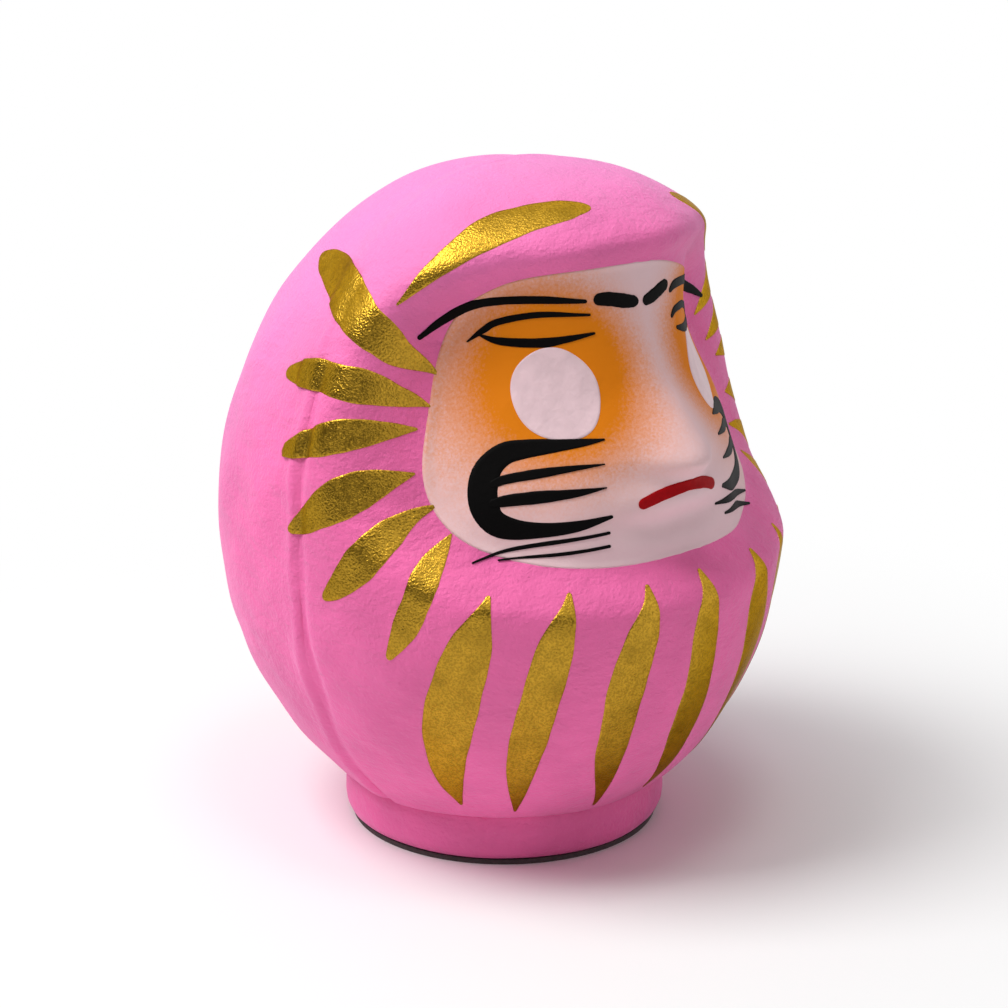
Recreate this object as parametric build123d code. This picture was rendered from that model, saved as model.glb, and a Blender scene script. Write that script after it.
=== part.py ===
"""Daruma doll: a hollow moulded-paper tumbler figure on a short weighted foot.

Millimetres, +Z up.  The origin is the middle of the underside, the doll faces -Y and +X is its own left.
The body is two thin pulp shells that meet in the plane y = 0 under a glued paper strip.  They stand on a
paper foot ring that holds a clay weight, and a card disc closes the ring from below.
"""
from build123d import *

import os
from math import acos, cos, degrees, exp, pi, sin, sqrt

# Overall sizes of the body
HEIGHT = 111.2              # underside to crown
HALF_WIDTH = 45.1           # axis to either side
BACK_DEPTH = 50.6           # axis to the fullest point of the back
BELLY_DEPTH = 47.0          # axis to the fullest point of the front
WIDEST_Z = 51.6             # height of the widest level
BACK_FULLNESS = 1.9         # exponent of the back's upper curve, 2 is a plain ellipse
HOOD_FULLNESS = 2.72        # the same over the face, where the hood juts forward
HOOD_START = -0.35          # cosine of the azimuth at which the back turns into the hood
HOOD_SPAN = 0.95            # change of that cosine over which it does so
WALL = 2.0                  # thickness of the pulp
CROWN_RADIUS = 3.0          # small level patch on top, where the moulds part
WALL_SIDE_SHARE = 0.75      # share of the wall taken sideways, the blend of inner_radius adds the rest

# Face recess, an oval-cornered field measured by azimuth and height
FACE_BELOW_CROWN = 34.1     # crown down to the middle of the face
FACE_HALF_ANGLE = 62.5      # degrees from the nose to the edge of the white field
FACE_HALF_HEIGHT = 22.3
FACE_SQUARENESS = 3.2       # exponent of the field's outline
HOOD_EDGE = 1.24            # outline of the hood's edge, as a scale of the white field
EDGE_ROUNDING = 0.28        # share of the band over which its two edges are rounded
BROW_RADIUS = 30.2          # axis to the brow
CHEEK_SLOPE = 0.267         # how fast the face comes forward below the brow
BROW_ABOVE_FACE = 13.9      # middle of the face up to the brow line
BROW_BLEND = 6.0            # height over which the brow turns into the cheeks

# Features moulded on the face: sunk or proud depth, half width and half height
SOCKET_SUNK = 2.6
SOCKET_START = 12.0         # degrees from the nose to where the eye sockets begin
SOCKET_SPAN = 35.0          # degrees over which they reach their depth
SOCKET_RISE = 9.0           # middle of the face up to the sockets
SOCKET_HALF_HEIGHT = 13.0
MUZZLE_PROUD = 4.8
MUZZLE_HALF_ANGLE = 27.0
MUZZLE_HALF_HEIGHT = 11.0
MUZZLE_DROP = 9.6           # middle of the face down to the muzzle
NOSE_PROUD = 4.0
NOSE_HALF_WIDTH = 4.4
NOSE_BRIDGE = 11.5          # how far the nose fades upwards
NOSE_UNDERSIDE = 3.0        # how fast it ends below the tip
NOSE_DROP = 6.2
WING_PROUD = 2.2            # wings of the nose, a wide low swelling over the mouth
WING_HALF_WIDTH = 9.5
WING_TOP = 7.0              # how far the wings fade upwards
WING_UNDERSIDE = 2.8
WING_DROP = 5.4
LIP_PROUD = 1.4
LIP_HALF_WIDTH = 8.5
LIP_HALF_HEIGHT = 2.8
LIP_DROP = 12.0
HOLLOW_SUNK = 1.5           # hollow between the lips and the chin
HOLLOW_HALF_WIDTH = 8.0
HOLLOW_HALF_HEIGHT = 2.3
HOLLOW_DROP = 16.6
FEATURE_RADIUS = 36.2       # axis to the front of the features, by which azimuth turns into width

# Foot, weight, card and strip
FOOT_RADIUS = 26.9
FOOT_HEIGHT = 9.0           # underside to the shoulder that carries the shells
FOOT_WALL = 2.6
FOOT_EDGE = 1.6             # rounding of the foot's lower edge
RIM_OVERHANG = 0.6          # shells past the foot, all round
SPIGOT_HEIGHT = 4.0         # ring inside the opening of the shells
CARD_THICKNESS = 0.8
CARD_INSET = 1.2            # card edge back from the foot's side
WEIGHT_HEIGHT = 9.5
WEIGHT_EDGE = 1.9           # rounding of the weight's upper edge
STRIP_WIDTH = 5.0
STRIP_THICKNESS = 0.35
FIT = 0.25                  # clearance of glued fits
GLUE = 0.12                 # glue film under the strip

# Fineness of the moulded surfaces
COLUMNS = 48                # points round each level
LEVELS = 30                 # levels from rim to crown

FACE_Z = HEIGHT - FACE_BELOW_CROWN
RIM_RADIUS = FOOT_RADIUS + RIM_OVERHANG
CROWN_Z = WIDEST_Z + (HEIGHT - WIDEST_Z) * sin(acos(CROWN_RADIUS / HALF_WIDTH))
REACH = 4 * HEIGHT          # side of the cutting boxes, larger than the doll


def smooth_step(t):
    """0 below 0, 1 above 1, with a soft start and end."""
    t = min(max(t, 0.0), 1.0)
    return t * t * (3 - 2 * t)


def soft_max(a, b, blend):
    """The larger of two values, rounded over where they cross."""
    h = min(max(0.5 + 0.5 * (a - b) / blend, 0.0), 1.0)
    return b * (1 - h) + a * h + blend * h * (1 - h)


def half_depth(azimuth):
    """Radius of the widest level: belly at 0 degrees, side at 90, back at 180."""
    c = cos(azimuth)
    end = BELLY_DEPTH if c > 0 else BACK_DEPTH
    return HALF_WIDTH + (end - HALF_WIDTH) * c * c


def lower_height(azimuth):
    """Half height of the ellipse that passes through the widest level and the rim."""
    ratio = RIM_RADIUS / half_depth(azimuth)
    return (WIDEST_Z - FOOT_HEIGHT) / sqrt(1 - ratio ** 2)


def egg_radius(azimuth, z):
    """Radius of the plain egg: an ellipse below the widest level and a fuller curve above it."""
    widest = half_depth(azimuth)
    if z < WIDEST_Z:
        return widest * sqrt(max(1 - ((WIDEST_Z - z) / lower_height(azimuth)) ** 2, 0.0))
    hood = smooth_step((cos(azimuth) - HOOD_START) / HOOD_SPAN)
    fullness = BACK_FULLNESS + (HOOD_FULLNESS - BACK_FULLNESS) * hood
    rise = min((z - WIDEST_Z) / (HEIGHT - WIDEST_Z), 1.0)
    return widest * (1 - rise ** fullness) ** (1 / fullness)


def bump(distance, half_width):
    """Bell of height 1."""
    return exp(-(distance / half_width) ** 2)


def face_radius(azimuth, z):
    """Radius of the sunk face: a leaning drum, sunk at sockets and chin, raised at muzzle, nose and lips."""
    drum = BROW_RADIUS + CHEEK_SLOPE * soft_max(FACE_Z + BROW_ABOVE_FACE - z, 0.0, BROW_BLEND)
    sockets = SOCKET_SUNK * smooth_step((abs(degrees(azimuth)) - SOCKET_START) / SOCKET_SPAN)
    sockets *= bump(z - (FACE_Z + SOCKET_RISE), SOCKET_HALF_HEIGHT)
    across = FEATURE_RADIUS * sin(azimuth)
    muzzle = MUZZLE_PROUD * bump(degrees(azimuth), MUZZLE_HALF_ANGLE)
    muzzle *= bump(z - (FACE_Z - MUZZLE_DROP), MUZZLE_HALF_HEIGHT)
    above_tip = z - (FACE_Z - NOSE_DROP)
    reach = NOSE_BRIDGE if above_tip > 0 else NOSE_UNDERSIDE
    nose = NOSE_PROUD * bump(across, NOSE_HALF_WIDTH) * bump(above_tip, reach)
    above_wings = z - (FACE_Z - WING_DROP)
    wing_reach = WING_TOP if above_wings > 0 else WING_UNDERSIDE
    wings = WING_PROUD * bump(across, WING_HALF_WIDTH) * bump(above_wings, wing_reach)
    lips = LIP_PROUD * bump(across, LIP_HALF_WIDTH) * bump(z - (FACE_Z - LIP_DROP), LIP_HALF_HEIGHT)
    hollow = HOLLOW_SUNK * bump(across, HOLLOW_HALF_WIDTH)
    hollow *= bump(z - (FACE_Z - HOLLOW_DROP), HOLLOW_HALF_HEIGHT)
    return drum - sockets + muzzle + nose + wings + lips - hollow


def recess_share(azimuth, z):
    """1 on the face, 0 outside the hood's edge, and a ramp with rounded ends over the band between."""
    if cos(azimuth) <= 0:
        return 0.0
    across = abs(degrees(azimuth)) / FACE_HALF_ANGLE
    up = abs(z - FACE_Z) / FACE_HALF_HEIGHT
    outline = (across ** FACE_SQUARENESS + up ** FACE_SQUARENESS) ** (1 / FACE_SQUARENESS)
    ramp = soft_max((HOOD_EDGE - outline) / (HOOD_EDGE - 1), 0.0, EDGE_ROUNDING)
    ramp = -soft_max(-ramp, -1.0, EDGE_ROUNDING)
    return min(max(ramp, 0.0), 1.0)


def body_radius(azimuth, z):
    """Radius of the doll's outer surface at an azimuth from the nose and a height."""
    egg = egg_radius(azimuth, z)
    sunk = max(egg - face_radius(azimuth, z), 0.0)
    return egg - sunk * recess_share(azimuth, z)


def level_heights(top):
    """Heights from rim to top, spaced by angle so that no stretch of the curve is bare."""
    start = -acos(RIM_RADIUS / HALF_WIDTH)
    finish = acos(CROWN_RADIUS / HALF_WIDTH)
    lower = (WIDEST_Z - FOOT_HEIGHT) / -sin(start)
    upper = (top - WIDEST_Z) / sin(finish)
    heights = []
    for k in range(LEVELS):
        angle = start + (finish - start) * k / (LEVELS - 1)
        heights.append(WIDEST_Z + (lower if angle < 0 else upper) * sin(angle))
    return heights


def inner_radius(azimuth, z):
    """Radius of the hollow: the outer surface moved in sideways, and down where the top slopes."""
    share = (z - FOOT_HEIGHT) / (CROWN_Z - WALL - FOOT_HEIGHT)
    above = z + WALL * min(max(share, 0.0), 1.0)
    beside = -body_radius(azimuth, z)
    over = -body_radius(azimuth, above)
    return -soft_max(beside, over, WALL) - WALL * WALL_SIDE_SHARE


def moulded_solid(radius_at, heights):
    """Closed solid through level splines, each of which runs once round the axis."""
    sections = []
    for z in heights:
        ring = []
        for k in range(COLUMNS):
            azimuth = 2 * pi * k / COLUMNS
            radius = radius_at(azimuth if azimuth < pi else azimuth - 2 * pi, z)
            ring.append((radius * sin(azimuth), -radius * cos(azimuth), z))
        turns = [k / COLUMNS for k in range(COLUMNS + 1)]
        sections.append(Wire([Edge.make_spline(ring, periodic=True, parameters=turns)]))
    return Solid.make_loft(sections)


def shells():
    """The moulded body, hollow and cut in two in the seam plane: front first."""
    outside = moulded_solid(body_radius, level_heights(CROWN_Z))
    hollow_levels = level_heights(CROWN_Z - WALL)
    inside = moulded_solid(inner_radius, [FOOT_HEIGHT - WALL] + hollow_levels)
    body = outside - inside
    front = body & Pos(0, -REACH / 2, 0) * Box(REACH, REACH, REACH)
    rear = body & Pos(0, REACH / 2, 0) * Box(REACH, REACH, REACH)
    return front, rear


def swollen_body(offset):
    """The outer body scaled about the middle of its widest level, so that its sides move out by offset."""
    scale = 1 + offset / HALF_WIDTH
    heights = [WIDEST_Z + scale * (z - WIDEST_Z) for z in level_heights(CROWN_Z)]

    def swollen_radius(azimuth, z):
        return scale * body_radius(azimuth, WIDEST_Z + (z - WIDEST_Z) / scale)

    return moulded_solid(swollen_radius, heights)


def joint_strip():
    """Paper strip that arches over the seam from rim to rim."""
    band = swollen_body(GLUE + STRIP_THICKNESS) - swollen_body(GLUE)
    slab = Pos(0, 0, FOOT_HEIGHT + REACH / 2) * Box(REACH, STRIP_WIDTH, REACH)
    return band & slab


def foot_ring():
    """Short paper cylinder with a rounded lower edge and a spigot that enters the shells."""
    bore = FOOT_RADIUS - FOOT_WALL
    spigot = RIM_RADIUS - WALL - FIT
    with BuildPart() as ring:
        with BuildSketch(Plane.XY.offset(CARD_THICKNESS)):
            Circle(FOOT_RADIUS)
        extrude(amount=FOOT_HEIGHT - CARD_THICKNESS)
        with BuildSketch(Plane.XY.offset(FOOT_HEIGHT)):
            Circle(spigot)
        extrude(amount=SPIGOT_HEIGHT)
        fillet(ring.edges().sort_by(Axis.Z)[0], FOOT_EDGE)
        with BuildSketch(Plane.XY.offset(CARD_THICKNESS)):
            Circle(bore)
        extrude(amount=FOOT_HEIGHT + SPIGOT_HEIGHT, mode=Mode.SUBTRACT)
    return ring.part


def clay_weight():
    """Clay puck on the card, with a softly rounded top edge."""
    with BuildPart() as puck:
        with BuildSketch(Plane.XY.offset(CARD_THICKNESS)):
            Circle(FOOT_RADIUS - FOOT_WALL - FIT)
        extrude(amount=WEIGHT_HEIGHT)
        fillet(puck.edges().sort_by(Axis.Z)[-1], WEIGHT_EDGE)
    return puck.part


def base_card():
    with BuildPart() as card:
        with BuildSketch():
            Circle(FOOT_RADIUS - CARD_INSET)
        extrude(amount=CARD_THICKNESS)
    return card.part


front, rear = shells()
pieces = {
    "shell_front": front,
    "shell_rear": rear,
    "joint_strip": joint_strip(),
    "foot_ring": foot_ring(),
    "clay_weight": clay_weight(),
    "base_card": base_card(),
}

os.makedirs("parts", exist_ok=True)
for name, piece in pieces.items():
    export_step(piece, f"parts/{name}.step")
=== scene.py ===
"""Daruma doll: the painted paper figure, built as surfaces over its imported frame.

Sizes are in millimetres here and in metres in the scene.  An azimuth is the angle round the doll's axis from
the middle of its face, positive towards the doll's own left; a place on the doll is an azimuth and a height.
"""
from functools import partial

import bmesh
import bpy
import numpy as np
from mathutils import Matrix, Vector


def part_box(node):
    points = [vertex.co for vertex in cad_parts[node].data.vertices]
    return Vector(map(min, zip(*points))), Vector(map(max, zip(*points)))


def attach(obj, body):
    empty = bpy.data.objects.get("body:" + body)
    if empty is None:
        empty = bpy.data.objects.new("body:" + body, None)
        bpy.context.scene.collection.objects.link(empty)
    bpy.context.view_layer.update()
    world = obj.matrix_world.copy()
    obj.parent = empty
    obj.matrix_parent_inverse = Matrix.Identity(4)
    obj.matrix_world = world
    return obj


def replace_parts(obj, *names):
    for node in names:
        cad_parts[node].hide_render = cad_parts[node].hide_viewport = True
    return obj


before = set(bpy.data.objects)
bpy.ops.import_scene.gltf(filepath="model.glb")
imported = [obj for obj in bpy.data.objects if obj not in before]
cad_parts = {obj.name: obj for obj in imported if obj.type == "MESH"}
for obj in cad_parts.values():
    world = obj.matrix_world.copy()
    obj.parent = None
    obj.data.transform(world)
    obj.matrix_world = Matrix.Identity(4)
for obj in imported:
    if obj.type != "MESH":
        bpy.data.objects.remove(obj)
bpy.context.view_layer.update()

bl_info = {
    "name": "Daruma Doll",
    "version": (1, 0, 0),
    "blender": (4, 5, 0),
    "location": "View3D > Sidebar > Daruma",
    "description": "Builds a hand-painted moulded-paper daruma doll piece by piece",
    "category": "Add Mesh",
}

MM = 0.001

# Body: an egg with a hood that juts out over a sunk face
HEIGHT = 111.2  # underside to crown
HALF_WIDTH = 45.1  # axis to either side
BACK_DEPTH = 50.6  # axis to the fullest point of the back
BELLY_DEPTH = 47.0  # axis to the fullest point of the front
WIDEST_Z = 51.6  # height of the widest level
BACK_FULLNESS = 1.9  # exponent of the back's upper curve, 2 is a plain ellipse
HOOD_FULLNESS = 2.72  # the same over the face, where the hood juts forward
HOOD_START = -0.35  # cosine of the azimuth at which the back turns into the hood
HOOD_SPAN = 0.95  # change of that cosine over which it does so
WALL = 2.0
RIM_RADIUS = 27.5  # lower opening of the shells

# Foot
FOOT_HEIGHT = 9.0  # floor to the shoulder that carries the shells
FOOT_RADIUS = 26.9
FOOT_WALL = 2.6
FOOT_SWELL = 0.15  # the most that the foot's side stands out of true
FOOT_EDGE_INWARD = 2.0  # rounding of the lower edge, inwards and upwards
FOOT_EDGE_UPWARD = 3.0
SPIGOT_RADIUS = 25.2  # collar inside the opening of the shells

# Sunk face
FACE_Z = HEIGHT - 34.1  # middle of the white field
FACE_HALF_ANGLE = 62.5
FACE_HALF_HEIGHT = 22.3
FACE_SQUARENESS = 3.2  # exponent of the field's outline
FACE_DROOP = 3.4  # how much lower the field's upper edge is on the doll's left
FACE_DROOP_ANGLE = 40.0  # azimuth at which it has come down
HOOD_EDGE = 1.24  # outline of the hood's edge, as a scale of the white field
EDGE_ROUNDING = 0.28  # share of the band over which its two edges are rounded
BROW_RADIUS = 30.2  # axis to the brow
BROW_ABOVE_FACE = 13.9  # middle of the face up to the brow line
BROW_BLEND = 6.0  # height over which the brow turns into the cheeks
CHEEK_SLOPE = 0.267  # how fast the face comes forward below the brow

# Features of the face, each with its depth, its reach to every side and how far below the middle it lies
SOCKET_SUNK = 2.6
SOCKET_START = 12.0  # azimuth where the eye sockets begin
SOCKET_SPAN = 35.0  # degrees over which they reach their depth
SOCKET_RISE = 9.0
SOCKET_HALF_HEIGHT = 13.0
MUZZLE_PROUD = 4.8
MUZZLE_HALF_ANGLE = 27.0
MUZZLE_HALF_HEIGHT = 11.0
MUZZLE_DROP = 9.6
NOSE_PROUD = 4.0
NOSE_HALF_WIDTH = 4.4
NOSE_BRIDGE = 11.5
NOSE_UNDERSIDE = 3.0
NOSE_DROP = 6.2
WING_PROUD = 2.2  # wings of the nose, a wide low swelling over the mouth
WING_HALF_WIDTH = 9.5
WING_TOP = 7.0
WING_UNDERSIDE = 2.8
WING_DROP = 5.4
LIP_PROUD = 1.4
LIP_HALF_WIDTH = 8.5
LIP_HALF_HEIGHT = 2.8
LIP_DROP = 12.0
HOLLOW_SUNK = 1.5  # hollow between the lips and the chin
HOLLOW_HALF_WIDTH = 8.0
HOLLOW_HALF_HEIGHT = 2.3
HOLLOW_DROP = 16.6
FEATURE_RADIUS = 36.2  # axis to the front of the features, by which azimuth turns into width

# Groove just in front of the joint
GROOVE_FORWARD = 3.0
GROOVE_DEPTH = 0.7
GROOVE_HALF_WIDTH = 1.15
GROOVE_TOP = 96.0  # height at which it has faded out
GROOVE_FADE = 30.0

# Joint strip
STRIP_LEVELS = 150  # levels up each side
STRIP_TOP_POINTS = 15  # points across its top
STRIP_ROOT = 0.9  # how deep its underside is sunk
STRIP_EDGE_SUNK = 0.08  # how deep its edges are pasted down
STRIP_START = 3.0  # height above the foot over which it rises
STRIP_CROWN_START = 78.0  # height from which it gets flatter towards the crown
STRIP_CROWN_SPAN = 20.0
STRIP_CROWN_LOSS = 0.6
CLIMB_BESIDE_STRIP = 1.0  # how far from the strip a stroke starts to climb over it
CLIMB_LENGTH = 1.6

# Pulp dents: long shallow waves, always the same ones
DENT_WAVES = 14
DENT_SHORTEST = 11.0
DENT_LONGEST = 38.0
DENT_CALM_RADIUS = 8.0  # the crown's middle, where they die out

# Coats of paint: how far each stands on the paper, and how deep its hidden side is sunk
GROUND_LIFT = 0.12
EYE_LIFT = 0.18
MARK_LIFT = 0.24
OVERLAP_LIFT = 0.012  # each further stroke of one mark lies that much higher
COAT_EDGE = 0.04
COAT_ROOT = 0.3
THINNEST_MARK = 0.1  # least half width of a brush stroke
MARK_WOBBLE = ((9, 0.02), (21, 0.018), (47, 0.012))  # rate along a stroke, share of its width

# Orange spray: a dense patch round each eye and a thin haze over each cheek, at angles from a middle line
SPRAY_MIDDLE = 3.5  # azimuth of that line
PATCH_ANGLE = 31.0
PATCH_HALF_ANGLE = 20.0
PATCH_Z = 84.0
PATCH_ABOVE = 10.5
PATCH_BELOW = 11.5
PATCH_STRENGTH = 1.8
HAZE_ANGLE = 52.0
HAZE_HALF_ANGLE = 36.0
HAZE_Z = 82.0
HAZE_HALF_HEIGHT = 22.0
HAZE_STRENGTH = 0.44

# Eyes
EYE_HALF_ANGLE = 12.0
EYE_HALF_HEIGHT = 6.7
EYE_TILT = 0.3  # how much higher each eye's outer end is


def srgb(code):
    """Linear RGB of an sRGB hex colour."""
    values = np.array([int(code[k:k + 2], 16) for k in (1, 3, 5)]) / 255
    return tuple(np.where(values <= 0.04045, values / 12.92, ((values + 0.055) / 1.055) ** 2.4))


class DollSettings(bpy.types.PropertyGroup):
    """Sizes and paint colours that a user would change."""
    dent_depth: bpy.props.FloatProperty(
        name="Dent depth", description="How uneven the moulded paper is", default=0.0004, unit="LENGTH")
    strip_width: bpy.props.FloatProperty(
        name="Strip width", description="Width of the paper strip over the joint", default=0.005,
        unit="LENGTH")
    strip_proud: bpy.props.FloatProperty(
        name="Strip height", description="How far the strip stands off the shells", default=0.0005,
        unit="LENGTH")
    gold_lift: bpy.props.FloatProperty(
        name="Gold height", description="Thickness of the gold paint", default=0.0001, unit="LENGTH")
    pink: bpy.props.FloatVectorProperty(
        name="Pink", description="Body paint", default=srgb("#F76DAE"), subtype="COLOR", min=0, max=1)
    white: bpy.props.FloatVectorProperty(
        name="White", description="Face paint", default=srgb("#F4D3D9"), subtype="COLOR", min=0, max=1)
    orange: bpy.props.FloatVectorProperty(
        name="Orange", description="Sprayed shade round the eyes", default=srgb("#F08600"), subtype="COLOR",
        min=0, max=1)
    black: bpy.props.FloatVectorProperty(
        name="Black", description="Brows and whiskers", default=srgb("#060505"), subtype="COLOR",
        min=0, max=1)
    red: bpy.props.FloatVectorProperty(
        name="Red", description="Mouth", default=srgb("#A10D14"), subtype="COLOR", min=0, max=1)
    gold: bpy.props.FloatVectorProperty(
        name="Gold", description="Metallic strokes", default=srgb("#BF9530"), subtype="COLOR", min=0, max=1)


# ---------------------------------------------------------------- the surface of the doll

def smooth_step(t):
    """0 below 0, 1 above 1, with a soft start and end."""
    t = np.clip(t, 0, 1)
    return t * t * (3 - 2 * t)


def soft_max(a, b, blend):
    """The larger of two values, rounded over where they cross."""
    h = np.clip(0.5 + 0.5 * (a - b) / blend, 0, 1)
    return b * (1 - h) + a * h + blend * h * (1 - h)


def bump(distance, half_width):
    """Bell of height 1."""
    return np.exp(-(distance / half_width) ** 2)


def uneven_bump(distance, above, below):
    """Bell of height 1 with one half width above its middle and another below it."""
    return bump(distance, np.where(distance > 0, above, below))


def ripple(base, along, *waves):
    """A value that wanders: the base plus sines, each given by its size and its length over 2 pi."""
    for size, length in waves:
        base = base + size * np.sin(along / length)
    return base


def egg_radius(azimuth, z):
    """Ellipse below the widest level and a fuller power curve above it; depth varies with the azimuth."""
    c = np.cos(azimuth)
    widest = HALF_WIDTH + (np.where(c > 0, BELLY_DEPTH, BACK_DEPTH) - HALF_WIDTH) * c * c
    lower = (WIDEST_Z - FOOT_HEIGHT) / np.sqrt(1 - (RIM_RADIUS / widest) ** 2)
    below = widest * np.sqrt(np.clip(1 - ((WIDEST_Z - z) / lower) ** 2, 0, 1))
    fullness = BACK_FULLNESS + (HOOD_FULLNESS - BACK_FULLNESS) * smooth_step((c - HOOD_START) / HOOD_SPAN)
    rise = np.clip((z - WIDEST_Z) / (HEIGHT - WIDEST_Z), 0, 1)
    return np.where(z < WIDEST_Z, below, widest * (1 - rise ** fullness) ** (1 / fullness))


def face_radius(azimuth, z):
    """A leaning drum plus bells for muzzle, nose and lips, less bells for eye sockets and chin hollow."""
    drum = BROW_RADIUS + CHEEK_SLOPE * soft_max(FACE_Z + BROW_ABOVE_FACE - z, 0.0, BROW_BLEND)
    sockets = SOCKET_SUNK * smooth_step((np.abs(np.degrees(azimuth)) - SOCKET_START) / SOCKET_SPAN)
    sockets = sockets * bump(z - FACE_Z - SOCKET_RISE, SOCKET_HALF_HEIGHT)
    across = FEATURE_RADIUS * np.sin(azimuth)
    muzzle = MUZZLE_PROUD * bump(np.degrees(azimuth), MUZZLE_HALF_ANGLE)
    muzzle = muzzle * bump(z - FACE_Z + MUZZLE_DROP, MUZZLE_HALF_HEIGHT)
    nose = NOSE_PROUD * bump(across, NOSE_HALF_WIDTH)
    nose = nose * uneven_bump(z - FACE_Z + NOSE_DROP, NOSE_BRIDGE, NOSE_UNDERSIDE)
    wings = WING_PROUD * bump(across, WING_HALF_WIDTH)
    wings = wings * uneven_bump(z - FACE_Z + WING_DROP, WING_TOP, WING_UNDERSIDE)
    lips = LIP_PROUD * bump(across, LIP_HALF_WIDTH) * bump(z - FACE_Z + LIP_DROP, LIP_HALF_HEIGHT)
    hollow = HOLLOW_SUNK * bump(across, HOLLOW_HALF_WIDTH)
    hollow = hollow * bump(z - FACE_Z + HOLLOW_DROP, HOLLOW_HALF_HEIGHT)
    return drum - sockets + muzzle + nose + wings + lips - hollow


def recess_share(azimuth, z):
    """1 on the face, 0 outside the hood's edge, a ramp with rounded ends over the band between."""
    across = np.abs(np.degrees(azimuth)) / FACE_HALF_ANGLE
    up = np.abs(z - FACE_Z) / FACE_HALF_HEIGHT
    outline = (across ** FACE_SQUARENESS + up ** FACE_SQUARENESS) ** (1 / FACE_SQUARENESS)
    ramp = soft_max((HOOD_EDGE - outline) / (HOOD_EDGE - 1), 0.0, EDGE_ROUNDING)
    ramp = -soft_max(-ramp, -1.0, EDGE_ROUNDING)
    return np.where(np.cos(azimuth) > 0, np.clip(ramp, 0, 1), 0)


def dents(x, y, z):
    """Sum of long cosine waves in seeded random directions, mostly between -1 and 1."""
    rng = np.random.default_rng(11)
    total = np.zeros(np.broadcast(x, y, z).shape)
    for _ in range(DENT_WAVES):
        direction = rng.normal(size=3)
        direction /= np.linalg.norm(direction)
        length = rng.uniform(DENT_SHORTEST, DENT_LONGEST)
        phase = rng.uniform(0, 2 * np.pi)
        along = direction[0] * x + direction[1] * y + direction[2] * z
        total += np.cos(2 * np.pi * along / length + phase)
    return total / np.sqrt(2 * DENT_WAVES)


def seam_groove(along, height):
    """Depth of the wandering groove just in front of the joint, fading out towards the crown."""
    middle = ripple(-GROOVE_FORWARD, height, (0.45, 8.0), (0.25, 3.1))
    strength = ripple(0.75, height, (0.25, 5.3)) * smooth_step((GROOVE_TOP - height) / GROOVE_FADE)
    return GROOVE_DEPTH * strength * bump(along - middle, GROOVE_HALF_WIDTH)


def skin(azimuth, z):
    """Points of the paper surface in millimetres: the egg less its recess and groove, plus the dents."""
    azimuth, z = np.broadcast_arrays(np.asarray(azimuth, float), np.asarray(z, float))
    egg = egg_radius(azimuth, z)
    radius = egg - np.maximum(egg - face_radius(azimuth, z), 0) * recess_share(azimuth, z)
    depth = bpy.context.scene.daruma_doll.dent_depth / MM
    uneven = dents(radius * np.sin(azimuth), -radius * np.cos(azimuth), z)
    radius = radius + depth * uneven * np.clip(radius / DENT_CALM_RADIUS, 0, 1)
    radius = radius - seam_groove(-radius * np.cos(azimuth), z)
    return np.stack([radius * np.sin(azimuth), -radius * np.cos(azimuth), z], axis=-1)


def skin_frame(azimuth, z):
    """Point, the two surface directions and the outward normal, from small steps in azimuth and height."""
    step = 0.002
    point = skin(azimuth, z)
    around = (skin(azimuth + step, z) - skin(azimuth - step, z)) / (2 * step)
    upward = (skin(azimuth, z + step) - skin(azimuth, z - step)) / (2 * step)
    normal = np.cross(around, upward)
    normal /= np.linalg.norm(normal, axis=-1, keepdims=True)
    return point, around, upward, normal


def reach_skin(direction):
    """Points where rays from the middle of the widest level leave the paper, found by halving 26 times."""
    centre = np.array([0, 0, WIDEST_Z])
    near, far = np.zeros(direction.shape[:-1]), np.full(direction.shape[:-1], HEIGHT)
    for _ in range(26):
        middle = (near + far) / 2
        point = centre + middle[..., None] * direction
        azimuth = np.arctan2(point[..., 0], -point[..., 1])
        edge = np.linalg.norm(skin(azimuth, point[..., 2])[..., :2], axis=-1)
        inside = (np.hypot(point[..., 0], point[..., 1]) < edge) & (point[..., 2] < HEIGHT)
        near, far = np.where(inside, middle, near), np.where(inside, far, middle)
    return centre + near[..., None] * direction


# ---------------------------------------------------------------- meshes

def add_object(name, points, faces, material):
    """Object that rides the body, from points in millimetres: seams merged and faces turned outwards."""
    mesh = bpy.data.meshes.new(name)
    mesh.from_pydata((np.reshape(points, (-1, 3)) * MM).tolist(), [], faces)
    work = bmesh.new()
    work.from_mesh(mesh)
    bmesh.ops.remove_doubles(work, verts=work.verts, dist=1e-8)
    bmesh.ops.dissolve_degenerate(work, edges=work.edges, dist=1e-9)
    bmesh.ops.recalc_face_normals(work, faces=work.faces)
    work.to_mesh(mesh)
    work.free()
    mesh.shade_smooth()
    mesh.materials.append(material)
    piece = bpy.data.objects.new(name, mesh)
    bpy.context.scene.collection.objects.link(piece)
    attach(piece, "root")
    return piece


def grid_quads(rows, columns, first=0, wrap=False):
    """Index quads of a grid of points, closed round its columns if wrap is set."""
    last = columns if wrap else columns - 1
    row, column = np.meshgrid(np.arange(rows - 1), np.arange(last), indexing="ij")
    beside = (column + 1) % columns
    corners = [row * columns + column, row * columns + beside,
               (row + 1) * columns + beside, (row + 1) * columns + column]
    return (first + np.stack(corners, axis=-1).reshape(-1, 4)).tolist()


def add_rings(name, rings, material):
    """Object from a stack of closed rings that ends in points or comes back to its start."""
    rows, columns = rings.shape[:2]
    return add_object(name, rings, grid_quads(rows, columns, wrap=True), material)


def closed_ends(rings):
    """The rings with the first and the last drawn together to a point."""
    rings[0] = rings[0].mean(axis=0)
    rings[-1] = rings[-1].mean(axis=0)
    return rings


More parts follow.
